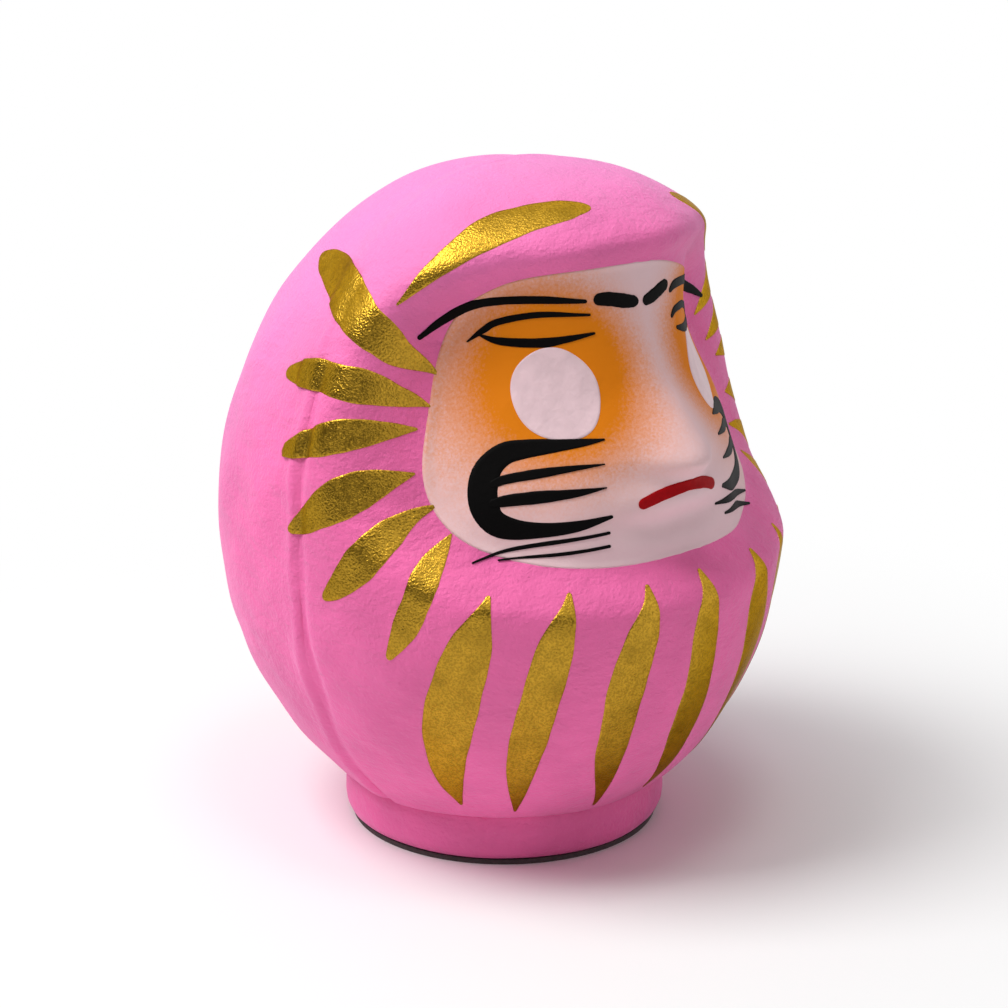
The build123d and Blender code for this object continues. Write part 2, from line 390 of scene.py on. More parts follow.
def full_turn(count):
    """Angles of that many points evenly round a circle."""
    return np.linspace(0, 2 * np.pi, count + 1)[:-1]


def spaced_levels(count):
    """Heights from rim to crown, spaced by angle round the side view."""
    start = -np.arccos(RIM_RADIUS / HALF_WIDTH)
    angle = np.linspace(start, np.pi / 2, count)
    lower = (WIDEST_Z - FOOT_HEIGHT) / -np.sin(start)
    return WIDEST_Z + np.where(angle < 0, lower, HEIGHT - WIDEST_Z) * np.sin(angle)


def half_shell(first, last, columns, levels):
    """Outer surface over a grid of azimuth and height, the same moved in by the wall, and the rims between.

    The columns lie closer together towards the joint: the azimuth goes as 1.3 t less 0.3 t cubed.
    """
    t = np.linspace(-1, 1, columns)[None, :]
    azimuth = (first + last) / 2 + (last - first) / 2 * (1.3 * t - 0.3 * t ** 3)
    z = spaced_levels(levels)[:, None]
    outer = skin(azimuth, z)
    core = np.zeros_like(outer)
    core[..., 2] = np.minimum(outer[..., 2], WIDEST_Z)
    inward = outer - core
    inner = outer - WALL * inward / np.linalg.norm(inward, axis=-1, keepdims=True)
    count = levels * columns
    faces = grid_quads(levels, columns) + grid_quads(levels, columns, first=count)
    side = np.arange(levels) * columns
    for edge in (np.arange(columns), side, side + columns - 1):
        rim = np.stack([edge[:-1], edge[1:], edge[1:] + count, edge[:-1] + count], axis=-1)
        faces += rim.tolist()
    return np.concatenate([outer.reshape(-1, 3), inner.reshape(-1, 3)]), faces


def strip_rings(half_width, proud):
    """Rings across the joint, carried from rim to rim over the crown.

    Points leave the skin along rays from the middle.  The top is a low arch plus a narrow bead that wanders
    a little off its middle, with its edges pasted down; the underside is sunk into the paper.
    """
    levels = spaced_levels(STRIP_LEVELS)
    z = np.concatenate([levels, levels[::-1][1:]])[:, None]
    azimuth = np.where(np.arange(len(z)) < len(levels), np.pi / 2, -np.pi / 2)[:, None]
    across = np.concatenate([np.linspace(1, -1, STRIP_TOP_POINTS), np.linspace(-0.9, 0.9, 7)])[None, :]
    below = np.arange(across.size) >= STRIP_TOP_POINTS
    wander = 0.12 * np.sin(z / 6.0) + 0.08 * azimuth * np.sin(z / 2.6)
    bead = 0.3 * (1 - across ** 2) + 0.7 * bump(across + 0.3 + wander, 0.4)
    flatter = 1 - STRIP_CROWN_LOSS * smooth_step((z - STRIP_CROWN_START) / STRIP_CROWN_SPAN)
    strength = ripple(0.8, z, (0.2, 4.3)) * flatter * smooth_step((z - FOOT_HEIGHT) / STRIP_START)
    height = proud * bead * strength - STRIP_EDGE_SUNK * across ** 6
    direction = skin(azimuth, z) + np.zeros(across.shape)[..., None]
    direction[..., 1] = half_width * across
    direction[..., 2] -= WIDEST_Z
    direction /= np.linalg.norm(direction, axis=-1, keepdims=True)
    return closed_ends(reach_skin(direction) + direction * np.where(below, -STRIP_ROOT, height)[..., None])


def foot_rings(bottom, top):
    """The foot's profile turned about the axis: rounded lower edge, uneven side, shoulder and collar."""
    bore = FOOT_RADIUS - FOOT_WALL
    arc = np.linspace(0, np.pi / 2, 5)
    edge = np.stack([FOOT_RADIUS - FOOT_EDGE_INWARD * (1 - np.sin(arc)),
                     bottom + FOOT_EDGE_UPWARD * (1 - np.cos(arc))], axis=-1)
    profile = np.array([(bore, bottom), *edge, (FOOT_RADIUS - 0.05, 6.0), (FOOT_RADIUS, 8.6),
                        (FOOT_RADIUS - 0.2, 8.95), (SPIGOT_RADIUS, FOOT_HEIGHT), (SPIGOT_RADIUS, 9.2),
                        (SPIGOT_RADIUS, top), (bore, top), (bore, 6.0)])
    turn = full_turn(160)
    swollen = profile[:, :1] * (1 + 0.004 * np.sin(3 * turn + 0.6) + 0.0025 * np.sin(7 * turn + 2.0))
    swollen = np.minimum(swollen, FOOT_RADIUS + FOOT_SWELL)
    radius = np.where(profile[:, :1] > SPIGOT_RADIUS, swollen, profile[:, :1])
    rings = np.stack([radius * np.sin(turn), -radius * np.cos(turn), profile[:, 1:] + 0 * radius], axis=-1)
    return np.concatenate([rings, rings[:1]])


def smooth_path(knots, share):
    """Catmull-Rom curve through given knots, all columns at once, at shares of its whole length."""
    knots = np.asarray(knots, float)
    padded = np.vstack([2 * knots[0] - knots[1], knots, 2 * knots[-1] - knots[-2]])
    t = share * (len(knots) - 1)
    index = np.minimum(t.astype(int), len(knots) - 2)
    t = (t - index)[:, None]
    a, b, c, d = (padded[index + k] for k in range(4))
    curve = 2 * b + (c - a) * t + (2 * a - 5 * b + 4 * c - d) * t ** 2 + (3 * b - a - 3 * c + d) * t ** 3
    return 0.5 * curve


def mark_section():
    """Cross-section of a brush mark: share of the half width, share of the lift, share of the root depth."""
    across = np.array([1.0, 0.97, 0.88, 0.6, 0.3, 0.0, -0.3, -0.6, -0.88, -0.97, -1.0,
                       -0.9, -0.45, 0.0, 0.45, 0.9])
    raised = np.array([-0.3, 0.55, 1, 1, 1, 1, 1, 1, 1, 0.55, -0.3, 0, 0, 0, 0, 0])
    sunk = np.where(np.arange(len(across)) > 10, 1.0, 0.0)
    return across, raised, sunk


def strip_clearance(along):
    """How far a mark climbs where it crosses the joint strip."""
    settings = bpy.context.scene.daruma_doll
    reach = settings.strip_width / MM / 2 + CLIMB_BESIDE_STRIP
    return settings.strip_proud / MM * smooth_step((reach - np.abs(along)) / CLIMB_LENGTH)


def stroke_half_width(point, given, t, seed):
    """The given half width with seeded waves along it, as half rounds where little length is left."""
    step = np.linalg.norm(np.diff(point, axis=0), axis=-1)
    gone = np.concatenate([[0], np.cumsum(step)])
    half_width = np.maximum(given, THINNEST_MARK)
    left = np.minimum(gone, gone[-1] - gone) / half_width
    half_width = half_width * np.sqrt(1 - (1 - np.clip(left, 0, 1)) ** 2)
    rng = np.random.default_rng(seed)
    uneven = 1
    for rate, share in MARK_WOBBLE:
        uneven = uneven + share * np.sin(rate * t + rng.uniform(0, 6))
    return half_width * uneven


def steps_across(point, along_az, along_z, normal):
    """Change of azimuth and change of height for each millimetre across a path that lies on the skin."""
    tangent = np.gradient(point, axis=0)
    tangent /= np.linalg.norm(tangent, axis=-1, keepdims=True)
    side = np.cross(normal, tangent)
    az_size = np.linalg.norm(along_az, axis=-1)
    az_unit = along_az / az_size[:, None]
    up_part = along_z - (along_z * az_unit).sum(-1, keepdims=True) * az_unit
    side_z = (side * up_part).sum(-1) / np.linalg.norm(up_part, axis=-1) ** 2
    side_az = ((side * az_unit).sum(-1) - side_z * (along_z * az_unit).sum(-1)) / az_size
    return side_az, side_z


def brush_mark(knots, lift, seed, count=72):
    """A brush mark that follows the skin.

    Knots give azimuth in degrees, height and half width.  Each ring lies across the path: its flat top
    stands proud by lift, its underside is sunk into the paper, and the ends close on a point.
    """
    t = 0.5 - 0.5 * np.cos(np.linspace(0, np.pi, count))
    path = smooth_path(knots, t)
    azimuth, z = np.radians(path[:, 0]), path[:, 1]
    point, along_az, along_z, normal = skin_frame(azimuth, z)
    side_az, side_z = steps_across(point, along_az, along_z, normal)
    share, raised, sunk = mark_section()
    across = share[None, :] * stroke_half_width(point, path[:, 2], t, seed)[:, None]
    ring, _, _, ring_normal = skin_frame(azimuth[:, None] + side_az[:, None] * across,
                                         z[:, None] + side_z[:, None] * across)
    clear = np.where(sunk > 0, 0, strip_clearance(ring[..., 1]))
    height = lift * raised[None, :] - COAT_ROOT * sunk[None, :] + clear
    return closed_ends(ring + ring_normal * height[..., None])


def paint_field(outline_az, outline_z, centre, lift, rows):
    """A closed film over a field: rings shrink from its outline to its centre, above and below the paper."""
    inmost = 0.985
    share = np.concatenate([np.linspace(0, inmost, rows), [1.0], np.linspace(inmost, 0, rows)])[:, None]
    height = np.concatenate([np.full(rows, lift), [-COAT_EDGE], np.full(rows, -COAT_ROOT)])[:, None, None]
    azimuth = centre[0] + (outline_az - centre[0])[None, :] * share
    z = centre[1] + (outline_z - centre[1])[None, :] * share
    point, _, _, normal = skin_frame(np.radians(azimuth), z)
    return point + normal * height


def spray_amount(azimuth, z):
    """How thick the orange lies, 0 to 1: a bell round each eye, cut off at full cover, over a wider haze."""
    beside = np.abs(azimuth - SPRAY_MIDDLE)
    patch = bump(beside - PATCH_ANGLE, PATCH_HALF_ANGLE) * uneven_bump(z - PATCH_Z, PATCH_ABOVE, PATCH_BELOW)
    haze = HAZE_STRENGTH * bump(beside - HAZE_ANGLE, HAZE_HALF_ANGLE) * bump(z - HAZE_Z, HAZE_HALF_HEIGHT)
    return np.clip(PATCH_STRENGTH * patch, 0, 1) * (1 - haze) + haze


def mirrored(knots, further):
    """The same mark on the doll's other side, that many degrees further from the face."""
    return [(further - azimuth, z, half_width) for azimuth, z, half_width in knots]


# ---------------------------------------------------------------- materials

PAPER_NAME = "painted_paper_pink_brushed"
SMOOTH = {"interpolation_type": "SMOOTHSTEP"}
COLOURS = {"data_type": "RGBA"}


def add_node(tree, kind, output=0, settings=None, **inputs):
    """One output of a new node with its settings and inputs: a socket is linked, any other value is set.

    An input goes by its name with underscores for spaces, or by an i and its number where names repeat.
    """
    node = tree.nodes.new("ShaderNode" + kind)
    for key, value in (settings or {}).items():
        setattr(node, key, value)
    for key, value in inputs.items():
        socket = node.inputs[int(key[1:]) if key[0] == "i" and key[1:].isdigit() else key.replace("_", " ")]
        if isinstance(value, bpy.types.NodeSocket):
            tree.links.new(value, socket)
        else:
            socket.default_value = value
    return node.outputs[output] if len(node.outputs) else None


def new_material(name):
    """An empty node material, with its adder of nodes and the coordinates of the whole doll."""
    material = bpy.data.materials.new(name)
    material.use_nodes = True
    material.node_tree.nodes.clear()
    add = partial(add_node, material.node_tree)
    return material, add, add("TexCoord", "Object")


def per_metre(size_mm):
    """Scale of a pattern whose grains are that many millimetres across."""
    return 1 / (size_mm * MM)


def shade(colour, factor):
    """A colour made darker or lighter, with full alpha."""
    return tuple(min(value * factor, 1.0) for value in colour[:3]) + (1.0,)


def between(colour_a, colour_b, share):
    """A colour that share of the way from one colour to another, with full alpha."""
    return tuple(a + (b - a) * share for a, b in zip(colour_a[:3], colour_b[:3])) + (1.0,)


def painted_paper(settings):
    """Matt poster paint on moulded pulp: soft lumps, fibres through the thin coat and a chalky sheen.

    Real fibres are finer than can show, so they are drawn 0.6 mm across.
    """
    material, add, place = new_material(PAPER_NAME)
    squeezed = add("Mapping", Vector=place, Scale=(1, 1, 1.7))
    lumps = add("TexNoise", Vector=squeezed, Scale=per_metre(7.0), Detail=4.0, Roughness=0.55)
    fibre = add("TexNoise", Vector=place, Scale=per_metre(0.6), Detail=3.0, Roughness=0.65)
    mottle = add("TexNoise", Vector=place, Scale=per_metre(14.0), Detail=3.0)
    # Painted highlight: up and back, towards the crown, the pink is drawn paler and lilac, as bright light
    # from above washes it out
    height = add("VectorMath", "Value", {"operation": "DOT_PRODUCT"}, i0=place, i1=(0, 0.6, 0.8))
    crown = add("MapRange", settings=SMOOTH, Value=height, From_Min=52 * MM, From_Max=95 * MM, To_Max=0.75)
    uneven = add("MapRange", settings=SMOOTH, Value=mottle, From_Min=0.3, From_Max=0.7)
    pink = add("Mix", 2, COLOURS, Factor=uneven, i6=shade(settings.pink, 0.92),
               i7=shade(settings.pink, 1.06))
    # This lilac is painted highlight, not a colour of the paint
    crown_highlight = add("Mix", 2, COLOURS, Factor=crown, i6=pink, i7=between(settings.pink, srgb("#F0ACF0"), 0.55))
    bare = add("MapRange", settings=SMOOTH, Value=fibre, From_Min=0.6, From_Max=0.85, To_Max=0.25)
    colour = add("Mix", 2, COLOURS, Factor=bare, i6=crown_highlight, i7=between(settings.pink, (1, 1, 1), 0.3))
    waves = add("Bump", Height=lumps, Distance=0.85 * MM, Strength=1.0)
    rough = add("Bump", Height=fibre, Distance=0.2 * MM, Strength=1.0, Normal=waves)
    surface = add("BsdfPrincipled", Base_Color=colour, Roughness=0.62, Specular_IOR_Level=0.35,
                  Sheen_Weight=0.25, Sheen_Roughness=0.45, Sheen_Tint=(0.9, 0.7, 1.0, 1), Normal=rough)
    add("OutputMaterial", Surface=surface)
    return material


def face_paint(settings):
    """Matt white ground with orange sprayed on it: the spray fades out in fine dots.

    Real dots are finer than can show, so they are drawn 0.45 mm across.
    """
    material, add, place = new_material("face_paint_white_sprayed")
    amount = add("Attribute", "Fac", {"attribute_name": "spray"})
    dots = add("TexNoise", Vector=place, Scale=per_metre(0.45), Detail=2.0, Roughness=0.7)
    lumps = add("TexNoise", Vector=place, Scale=per_metre(5.0), Detail=3.0)
    speckle = add("Math", settings={"operation": "MULTIPLY_ADD"}, i0=dots, i1=0.5, i2=-0.25)
    coverage = add("MapRange", settings=SMOOTH, Value=amount, From_Min=0.02, From_Max=0.45)
    edge = add("Math", settings={"operation": "MULTIPLY"}, i0=speckle, i1=coverage)
    spray = add("Math", settings={"operation": "ADD", "use_clamp": True}, i0=amount, i1=edge)
    thin = add("MapRange", settings=SMOOTH, Value=spray, From_Min=0.0, From_Max=0.5)
    thick = add("MapRange", settings=SMOOTH, Value=spray, From_Min=0.25, From_Max=0.85)
    peach = add("Mix", 2, COLOURS, Factor=thin, i6=shade(settings.white, 1.0),
                i7=between(settings.white, settings.orange, 0.5))
    colour = add("Mix", 2, COLOURS, Factor=thick, i6=peach, i7=shade(settings.orange, 0.95))
    waves = add("Bump", Height=lumps, Distance=0.3 * MM, Strength=1.0)
    rough = add("Bump", Height=dots, Distance=0.04 * MM, Strength=1.0, Normal=waves)
    surface = add("BsdfPrincipled", Base_Color=colour, Roughness=0.7, Specular_IOR_Level=0.2, Normal=rough)
    add("OutputMaterial", Surface=surface)
    return material


def white_paint(settings):
    """Thick matt white poster paint: slightly puddled, a little brighter than the ground."""
    material, add, place = new_material("poster_paint_white_brushed")
    lumps = add("TexNoise", Vector=place, Scale=per_metre(3.2), Detail=3.0)
    puddles = add("MapRange", settings=SMOOTH, Value=lumps, From_Min=0.3, From_Max=0.7)
    colour = add("Mix", 2, COLOURS, Factor=puddles, i6=shade(settings.white, 0.93),
                 i7=shade(settings.white, 1.03))
    waves = add("Bump", Height=lumps, Distance=0.4 * MM, Strength=1.0)
    surface = add("BsdfPrincipled", Base_Color=colour, Roughness=0.5, Normal=waves)
    add("OutputMaterial", Surface=surface)
    return material


def brushed_colour(name, colour, roughness):
    """Opaque brush colour with faint streaks and a soft satin."""
    material, add, place = new_material(name)
    streak = add("TexNoise", Vector=place, Scale=per_metre(0.9), Detail=3.0)
    tone = add("Mix", 2, COLOURS, Factor=streak, i6=shade(colour, 0.75), i7=shade(colour, 1.35))
    rough = add("Bump", Height=streak, Distance=0.05 * MM, Strength=1.0)
    surface = add("BsdfPrincipled", Base_Color=tone, Roughness=roughness, Specular_IOR_Level=0.06,
                  Normal=rough)
    add("OutputMaterial", Surface=surface)
    return material


def gold_paint(settings):
    """Metallic paint brushed on: flakes that catch the light one by one, and slightly thin olive patches.

    Real flakes are finer than can show, so they are drawn 0.33 mm across.
    """
    material, add, place = new_material("metallic_paint_gold_brushed")
    flakes = add("TexNoise", Vector=place, Scale=per_metre(0.33), Detail=1.0)
    streaks = add("TexNoise", Vector=place, Scale=per_metre(1.6), Detail=4.0, Roughness=0.65)
    patches = add("TexNoise", Vector=place, Scale=per_metre(6.0), Detail=1.0)
    brushed = add("MapRange", settings=SMOOTH, Value=streaks, From_Min=0.3, From_Max=0.7)
    thin = add("MapRange", settings=SMOOTH, Value=patches, From_Min=0.42, From_Max=0.75, To_Max=0.45)
    dark = add("MapRange", settings=SMOOTH, Value=flakes, From_Min=0.42, From_Max=0.62, To_Max=0.5)
    full = add("Mix", 2, COLOURS, Factor=brushed, i6=shade(settings.gold, 0.86),
               i7=shade(settings.gold, 1.1))
    worn = add("Mix", 2, COLOURS, Factor=thin, i6=full, i7=shade(settings.gold, 0.5))
    colour = add("Mix", 2, COLOURS, Factor=dark, i6=worn, i7=shade(settings.gold, 0.45))
    gloss = add("MapRange", settings=SMOOTH, Value=streaks, From_Min=0.2, From_Max=0.8, To_Min=0.26,
                To_Max=0.34)
    waves = add("Bump", Height=patches, Distance=0.15 * MM, Strength=1.0)
    rough = add("Bump", Height=flakes, Distance=0.13 * MM, Strength=1.0, Normal=waves)
    surface = add("BsdfPrincipled", Base_Color=colour, Metallic=0.95, Roughness=gloss,
                  Specular_Tint=(0.6, 0.45, 0.25, 1), Normal=rough)
    add("OutputMaterial", Surface=surface)
    return material


def pressed_card(name, code, size_mm):
    """Plain pressed board or dry clay: flecks of two tones and a dull surface."""
    material, add, place = new_material(name)
    flecks = add("TexNoise", Vector=place, Scale=per_metre(size_mm), Detail=4.0, Roughness=0.7)
    share = add("MapRange", settings=SMOOTH, Value=flecks, From_Min=0.3, From_Max=0.7)
    tone = add("Mix", 2, COLOURS, Factor=share, i6=shade(srgb(code), 0.75), i7=shade(srgb(code), 1.15))
    rough = add("Bump", Height=flecks, Distance=0.1 * MM, Strength=1.0)
    surface = add("BsdfPrincipled", Base_Color=tone, Roughness=0.9, Normal=rough)
    add("OutputMaterial", Surface=surface)
    return material


def shared_paper(settings):
    """The painted paper of the shells, the strip and the foot, made once."""
    return bpy.data.materials.get(PAPER_NAME) or painted_paper(settings)


# ---------------------------------------------------------------- painted marks

# Each knot of a mark is its azimuth in degrees, its height and the half width of the brush there

FACE_MARKS = {
    "brow_right": [(-65.5, 88.9, 0.35), (-60, 91.4, 0.8), (-52, 93.7, 0.85), (-43, 94.5, 0.65),
                   (-30, 94.7, 0.65), (-17, 94.2, 0.3)],
    "brow_left": [(15.5, 93.2, 0.4), (20, 93.9, 0.8), (32, 93.2, 0.8), (48, 91.4, 0.9), (59, 89.6, 0.95),
                  (65.5, 87.6, 0.8), (69.5, 85.6, 0.3)],
    "brow_dot_right": [(-15, 94.4, 0.9), (-10, 94.2, 1.15), (-4, 93.5, 1.1), (0.5, 93.1, 0.8)],
    "brow_dot_left": [(2.5, 92.8, 0.8), (7, 93.4, 1.1), (11, 94.2, 1.1), (14.5, 94.8, 0.9)],
    "upper_lid_right": [(-53, 88.0, 0.12), (-48, 89.9, 0.5), (-43, 91.3, 0.55), (-31, 92.4, 0.5),
                        (-16, 92.1, 0.2)],
    "upper_lid_left": [(15, 89.2, 0.3), (19, 90.1, 0.6), (29, 89.6, 0.65), (40, 87.9, 0.6),
                       (49, 85.8, 0.3)],
    "lower_lid_right": [(-49.5, 89.2, 0.15), (-43, 88.3, 0.6), (-31, 88.1, 0.75), (-24, 88.5, 0.6),
                        (-15, 89.3, 0.2)],
    "lower_lid_left": [(17, 87.4, 0.3), (23, 86.6, 0.7), (31, 85.9, 0.8), (42, 85.4, 0.7), (49, 85.4, 0.2)],
    "upper_chin_line_right": [(-48.5, 56.6, 0.12), (-41, 58.1, 0.3), (-31, 59.3, 0.35), (-18, 60.4, 0.25)],
    "upper_chin_line_left": [(12.5, 60.9, 0.2), (20, 60.3, 0.65), (31, 58.9, 0.6), (41, 57.2, 0.2)],
    "lower_chin_line_right": [(-43, 56.8, 0.12), (-30, 57.5, 0.3), (-18, 58.3, 0.25)],
    "lower_chin_line_left": [(16.5, 58.6, 0.2), (27, 57.7, 0.65), (38, 55.7, 0.2)],
}
RIGHT_WHISKER = [
    [(-17.5, 74.3, 0.15), (-23, 73.9, 0.7), (-29, 73.5, 1.05), (-36, 73.0, 1.5), (-41.5, 72.2, 1.8),
     (-45.4, 70.1, 2.1), (-46.7, 67.3, 2.35), (-46.1, 64.5, 2.35), (-43.8, 62.3, 2.1), (-39.5, 61.3, 1.7),
     (-33, 61.2, 1.2), (-25, 61.8, 0.9), (-17.5, 63.0, 0.25)],
    [(-45, 67.6, 0.6), (-41, 68.6, 0.75), (-32, 69.7, 0.75), (-25, 70.4, 0.45), (-18.5, 70.9, 0.1)],
    [(-45, 64.9, 0.7), (-41, 65.5, 0.9), (-34, 66.1, 1.0), (-26, 66.7, 0.7), (-18.5, 67.4, 0.1)],
]
LEFT_WHISKER = [
    [(22.5, 73.2, 0.15), (30, 72.7, 0.9), (38, 72.0, 1.4), (43.5, 70.6, 1.9), (46.4, 67.8, 2.3),
     (46.0, 64.6, 2.3), (43, 62.2, 2.0), (36, 61.2, 1.6), (25, 61.8, 1.3), (14, 63.7, 0.3)],
    [(45, 67.6, 0.6), (40, 68.8, 0.8), (30, 69.7, 0.75), (19.5, 70.6, 0.15)],
    [(45, 64.9, 0.7), (40, 65.5, 0.9), (30, 66.1, 0.9), (18.5, 67.1, 0.15)],
]
EYE_CENTRES = {"eye_right": (-27.8, 80.8), "eye_left": (30.5, 79.8)}
MOUTH = [(-12, 64.3, 0.85), (-6.5, 65.9, 1.0), (-1, 66.7, 0.95), (4, 66.3, 1.0), (9, 65.0, 0.95)]
LEFT_FURTHER = 5.0  # degrees by which the left strokes lie further back than the right ones
LEFT_HOOD_GOLD = [(42, 105.8, 0.9), (49, 104.0, 2.3), (57, 100.9, 2.6), (65, 97.2, 1.5), (71.5, 93.0, 0.15)]
RIGHT_GOLD = [
    [(-69, 94.5, 0.15), (-60, 100.0, 1.6), (-48.5, 104.4, 3.0), (-35, 106.4, 3.0), (-19, 107.3, 2.3),
     (-9, 107.4, 0.9)],
    [(-61, 83.0, 0.15), (-68.5, 86.8, 2.2), (-73, 90.2, 3.2), (-81, 93.0, 3.6), (-95, 95.3, 3.4),
     (-113, 96.3, 2.4), (-121, 96.7, 0.9)],
    [(-62, 78.4, 0.15), (-68, 80.3, 1.6), (-75, 82.4, 2.7), (-84, 82.9, 2.6), (-93, 82.2, 2.2),
     (-101, 81.2, 0.8)],
    [(-64, 75.3, 0.15), (-70, 75.5, 1.6), (-77, 75.0, 2.6), (-84, 73.2, 2.3), (-90, 71.3, 1.6),
     (-94.5, 70.0, 0.7)],
    [(-63, 69.0, 0.15), (-68.5, 68.1, 1.9), (-73.5, 66.6, 3.2), (-79.5, 63.8, 3.1), (-85.5, 60.4, 1.9),
     (-89.5, 58.5, 0.6)],
    [(-57.5, 64.4, 0.15), (-62.5, 62.8, 1.3), (-66.5, 60.1, 2.6), (-70.5, 56.3, 2.9), (-75.5, 52.0, 2.0),
     (-79.5, 49.3, 0.6)],
    [(-53.5, 60.5, 0.15), (-56.5, 56.5, 2.0), (-58.5, 51.6, 2.3), (-61.2, 46.6, 2.1), (-64.8, 41.4, 0.5)],
]
BELLY = [
    [(-44.5, 52.8, 0.3), (-47.5, 46.0, 3.0), (-50.8, 38.0, 4.1), (-54.2, 28.0, 4.0), (-55.3, 19.5, 2.4),
     (-54.2, 12.6, 0.2)],
    [(-28.5, 52.6, 0.3), (-31.5, 46.0, 2.7), (-34, 37.0, 3.2), (-36, 29.0, 3.0), (-37.7, 20.5, 2.2),
     (-38.3, 11.3, 0.2)],
    [(-11.8, 52.4, 0.3), (-14.5, 45.5, 2.8), (-16.5, 38.0, 3.4), (-17, 30.0, 3.1), (-16.5, 21.5, 2.3),
     (-12.5, 10.6, 0.2)],
    [(2.5, 52.6, 0.3), (1.2, 46.0, 2.6), (1.4, 38.0, 3.3), (2.2, 29.0, 3.5), (4.0, 20.0, 2.5),
     (8, 11.0, 0.2)],
    [(21, 52.3, 0.3), (19.5, 46.5, 3.0), (21.5, 38.0, 3.6), (23, 29.5, 3.4), (26, 20.0, 2.4),
     (28.5, 12.0, 0.2)],
    [(38, 52.5, 0.3), (37.5, 46.0, 2.9), (38.5, 37.5, 3.6), (40, 29.0, 3.3), (42, 20.0, 2.3),
     (44, 12.0, 0.2)],
    [(53, 52.0, 0.3), (54, 45.5, 3.0), (55.5, 37.0, 3.8), (57, 28.5, 3.6), (58, 20.0, 2.4),
     (58.5, 12.5, 0.2)],
]


def add_marks(name, marks, material, lift, seed):
    """One object from several brush marks that overlap."""
    points, faces, first = [], [], 0
    for index, knots in enumerate(marks):
        rings = brush_mark(knots, lift + OVERLAP_LIFT * index, seed + index)
        faces += grid_quads(rings.shape[0], rings.shape[1], first=first, wrap=True)
        first += rings.shape[0] * rings.shape[1]
        points.append(rings.reshape(-1, 3))
    return add_object(name, np.concatenate(points), faces, material)


# ---------------------------------------------------------------- operators, one for each group of pieces

class DARUMA_OT_body(bpy.types.Operator):
    """Front and rear paper shells"""
    bl_idname = "daruma.body"
    bl_label = "Body shells"

    def execute(self, context):
        material = shared_paper(context.scene.daruma_doll)
        quarter = np.pi / 2
        points, faces = half_shell(-quarter, quarter, columns=240, levels=190)
        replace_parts(add_object("front_shell", points, faces, material), "shell_front")
        points, faces = half_shell(quarter, 3 * quarter, columns=120, levels=120)
        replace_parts(add_object("rear_shell", points, faces, material), "shell_rear")
        return {"FINISHED"}


class DARUMA_OT_strip(bpy.types.Operator):
    """Paper strip over the joint of the shells"""
    bl_idname = "daruma.strip"
    bl_label = "Joint strip"

    def execute(self, context):
        settings = context.scene.daruma_doll
        material = shared_paper(settings)
        rings = strip_rings(settings.strip_width / MM / 2, settings.strip_proud / MM)
        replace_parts(add_rings("seam_strip", rings, material), "joint_strip")
        return {"FINISHED"}


class DARUMA_OT_foot(bpy.types.Operator):
    """Paper foot ring, the card under it and the clay weight inside"""
    bl_idname = "daruma.foot"
    bl_label = "Foot"

    def execute(self, context):
        settings = context.scene.daruma_doll
        material = shared_paper(settings)
        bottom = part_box("base_card")[1][2] / MM
        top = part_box("foot_ring")[1][2] / MM
        piece = add_rings("foot_band", foot_rings(bottom, top), material)
        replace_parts(piece, "foot_ring")
        for node, name, code, size_mm in (("base_card", "pressed_card_grey", "#4C4042", 0.8),
                                          ("clay_weight", "raw_clay_dry", "#A08B74", 1.6)):
            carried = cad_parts[node]
            carried.data.materials.clear()
            carried.data.materials.append(pressed_card(name, code, size_mm))
        return {"FINISHED"}


class DARUMA_OT_face_ground(bpy.types.Operator):
    """White face field with orange sprayed round the eyes"""
    bl_idname = "daruma.face_ground"
    bl_label = "Face ground"

    def execute(self, context):
        turn = full_turn(256)
        power = 2 / FACE_SQUARENESS
        outline_az = FACE_HALF_ANGLE * np.sign(np.cos(turn)) * np.abs(np.cos(turn)) ** power
        outline_z = FACE_Z + FACE_HALF_HEIGHT * np.sign(np.sin(turn)) * np.abs(np.sin(turn)) ** power
        rise = smooth_step((outline_z - FACE_Z) / FACE_HALF_HEIGHT)
        outline_z = outline_z - FACE_DROOP * smooth_step(outline_az / FACE_DROOP_ANGLE) * rise
        rings = paint_field(outline_az, outline_z, (0.0, FACE_Z), GROUND_LIFT, rows=72)
        material = face_paint(context.scene.daruma_doll)
        piece = add_rings("white_face", rings, material)
        place = np.empty(len(piece.data.vertices) * 3)
        piece.data.vertices.foreach_get("co", place)
        x, y, z = place.reshape(-1, 3).T / MM
        amount = spray_amount(np.degrees(np.arctan2(x, -y)), z)
        spray = piece.data.attributes.new("spray", "FLOAT", "POINT")
        spray.data.foreach_set("value", amount.astype(np.float32))
        return {"FINISHED"}


class DARUMA_OT_eyes(bpy.types.Operator):
    """Blank white eyes"""
    bl_idname = "daruma.eyes"
    bl_label = "Eyes"

    def execute(self, context):
        material = white_paint(context.scene.daruma_doll)
        turn = full_turn(96)
        for side, name in ((-1, "eye_right"), (1, "eye_left")):
            wobble = 1 + 0.012 * np.sin(3 * turn + side) + 0.01 * np.sin(5 * turn)
            centre = EYE_CENTRES[name]
            outline_az = centre[0] + EYE_HALF_ANGLE * np.cos(turn) * wobble
            tilted = EYE_HALF_HEIGHT * np.sin(turn) + side * EYE_TILT * np.cos(turn)
            outline_z = centre[1] + tilted * wobble
            rings = paint_field(outline_az, outline_z, centre, EYE_LIFT, rows=24)
            add_rings(name, rings, material)
        return {"FINISHED"}


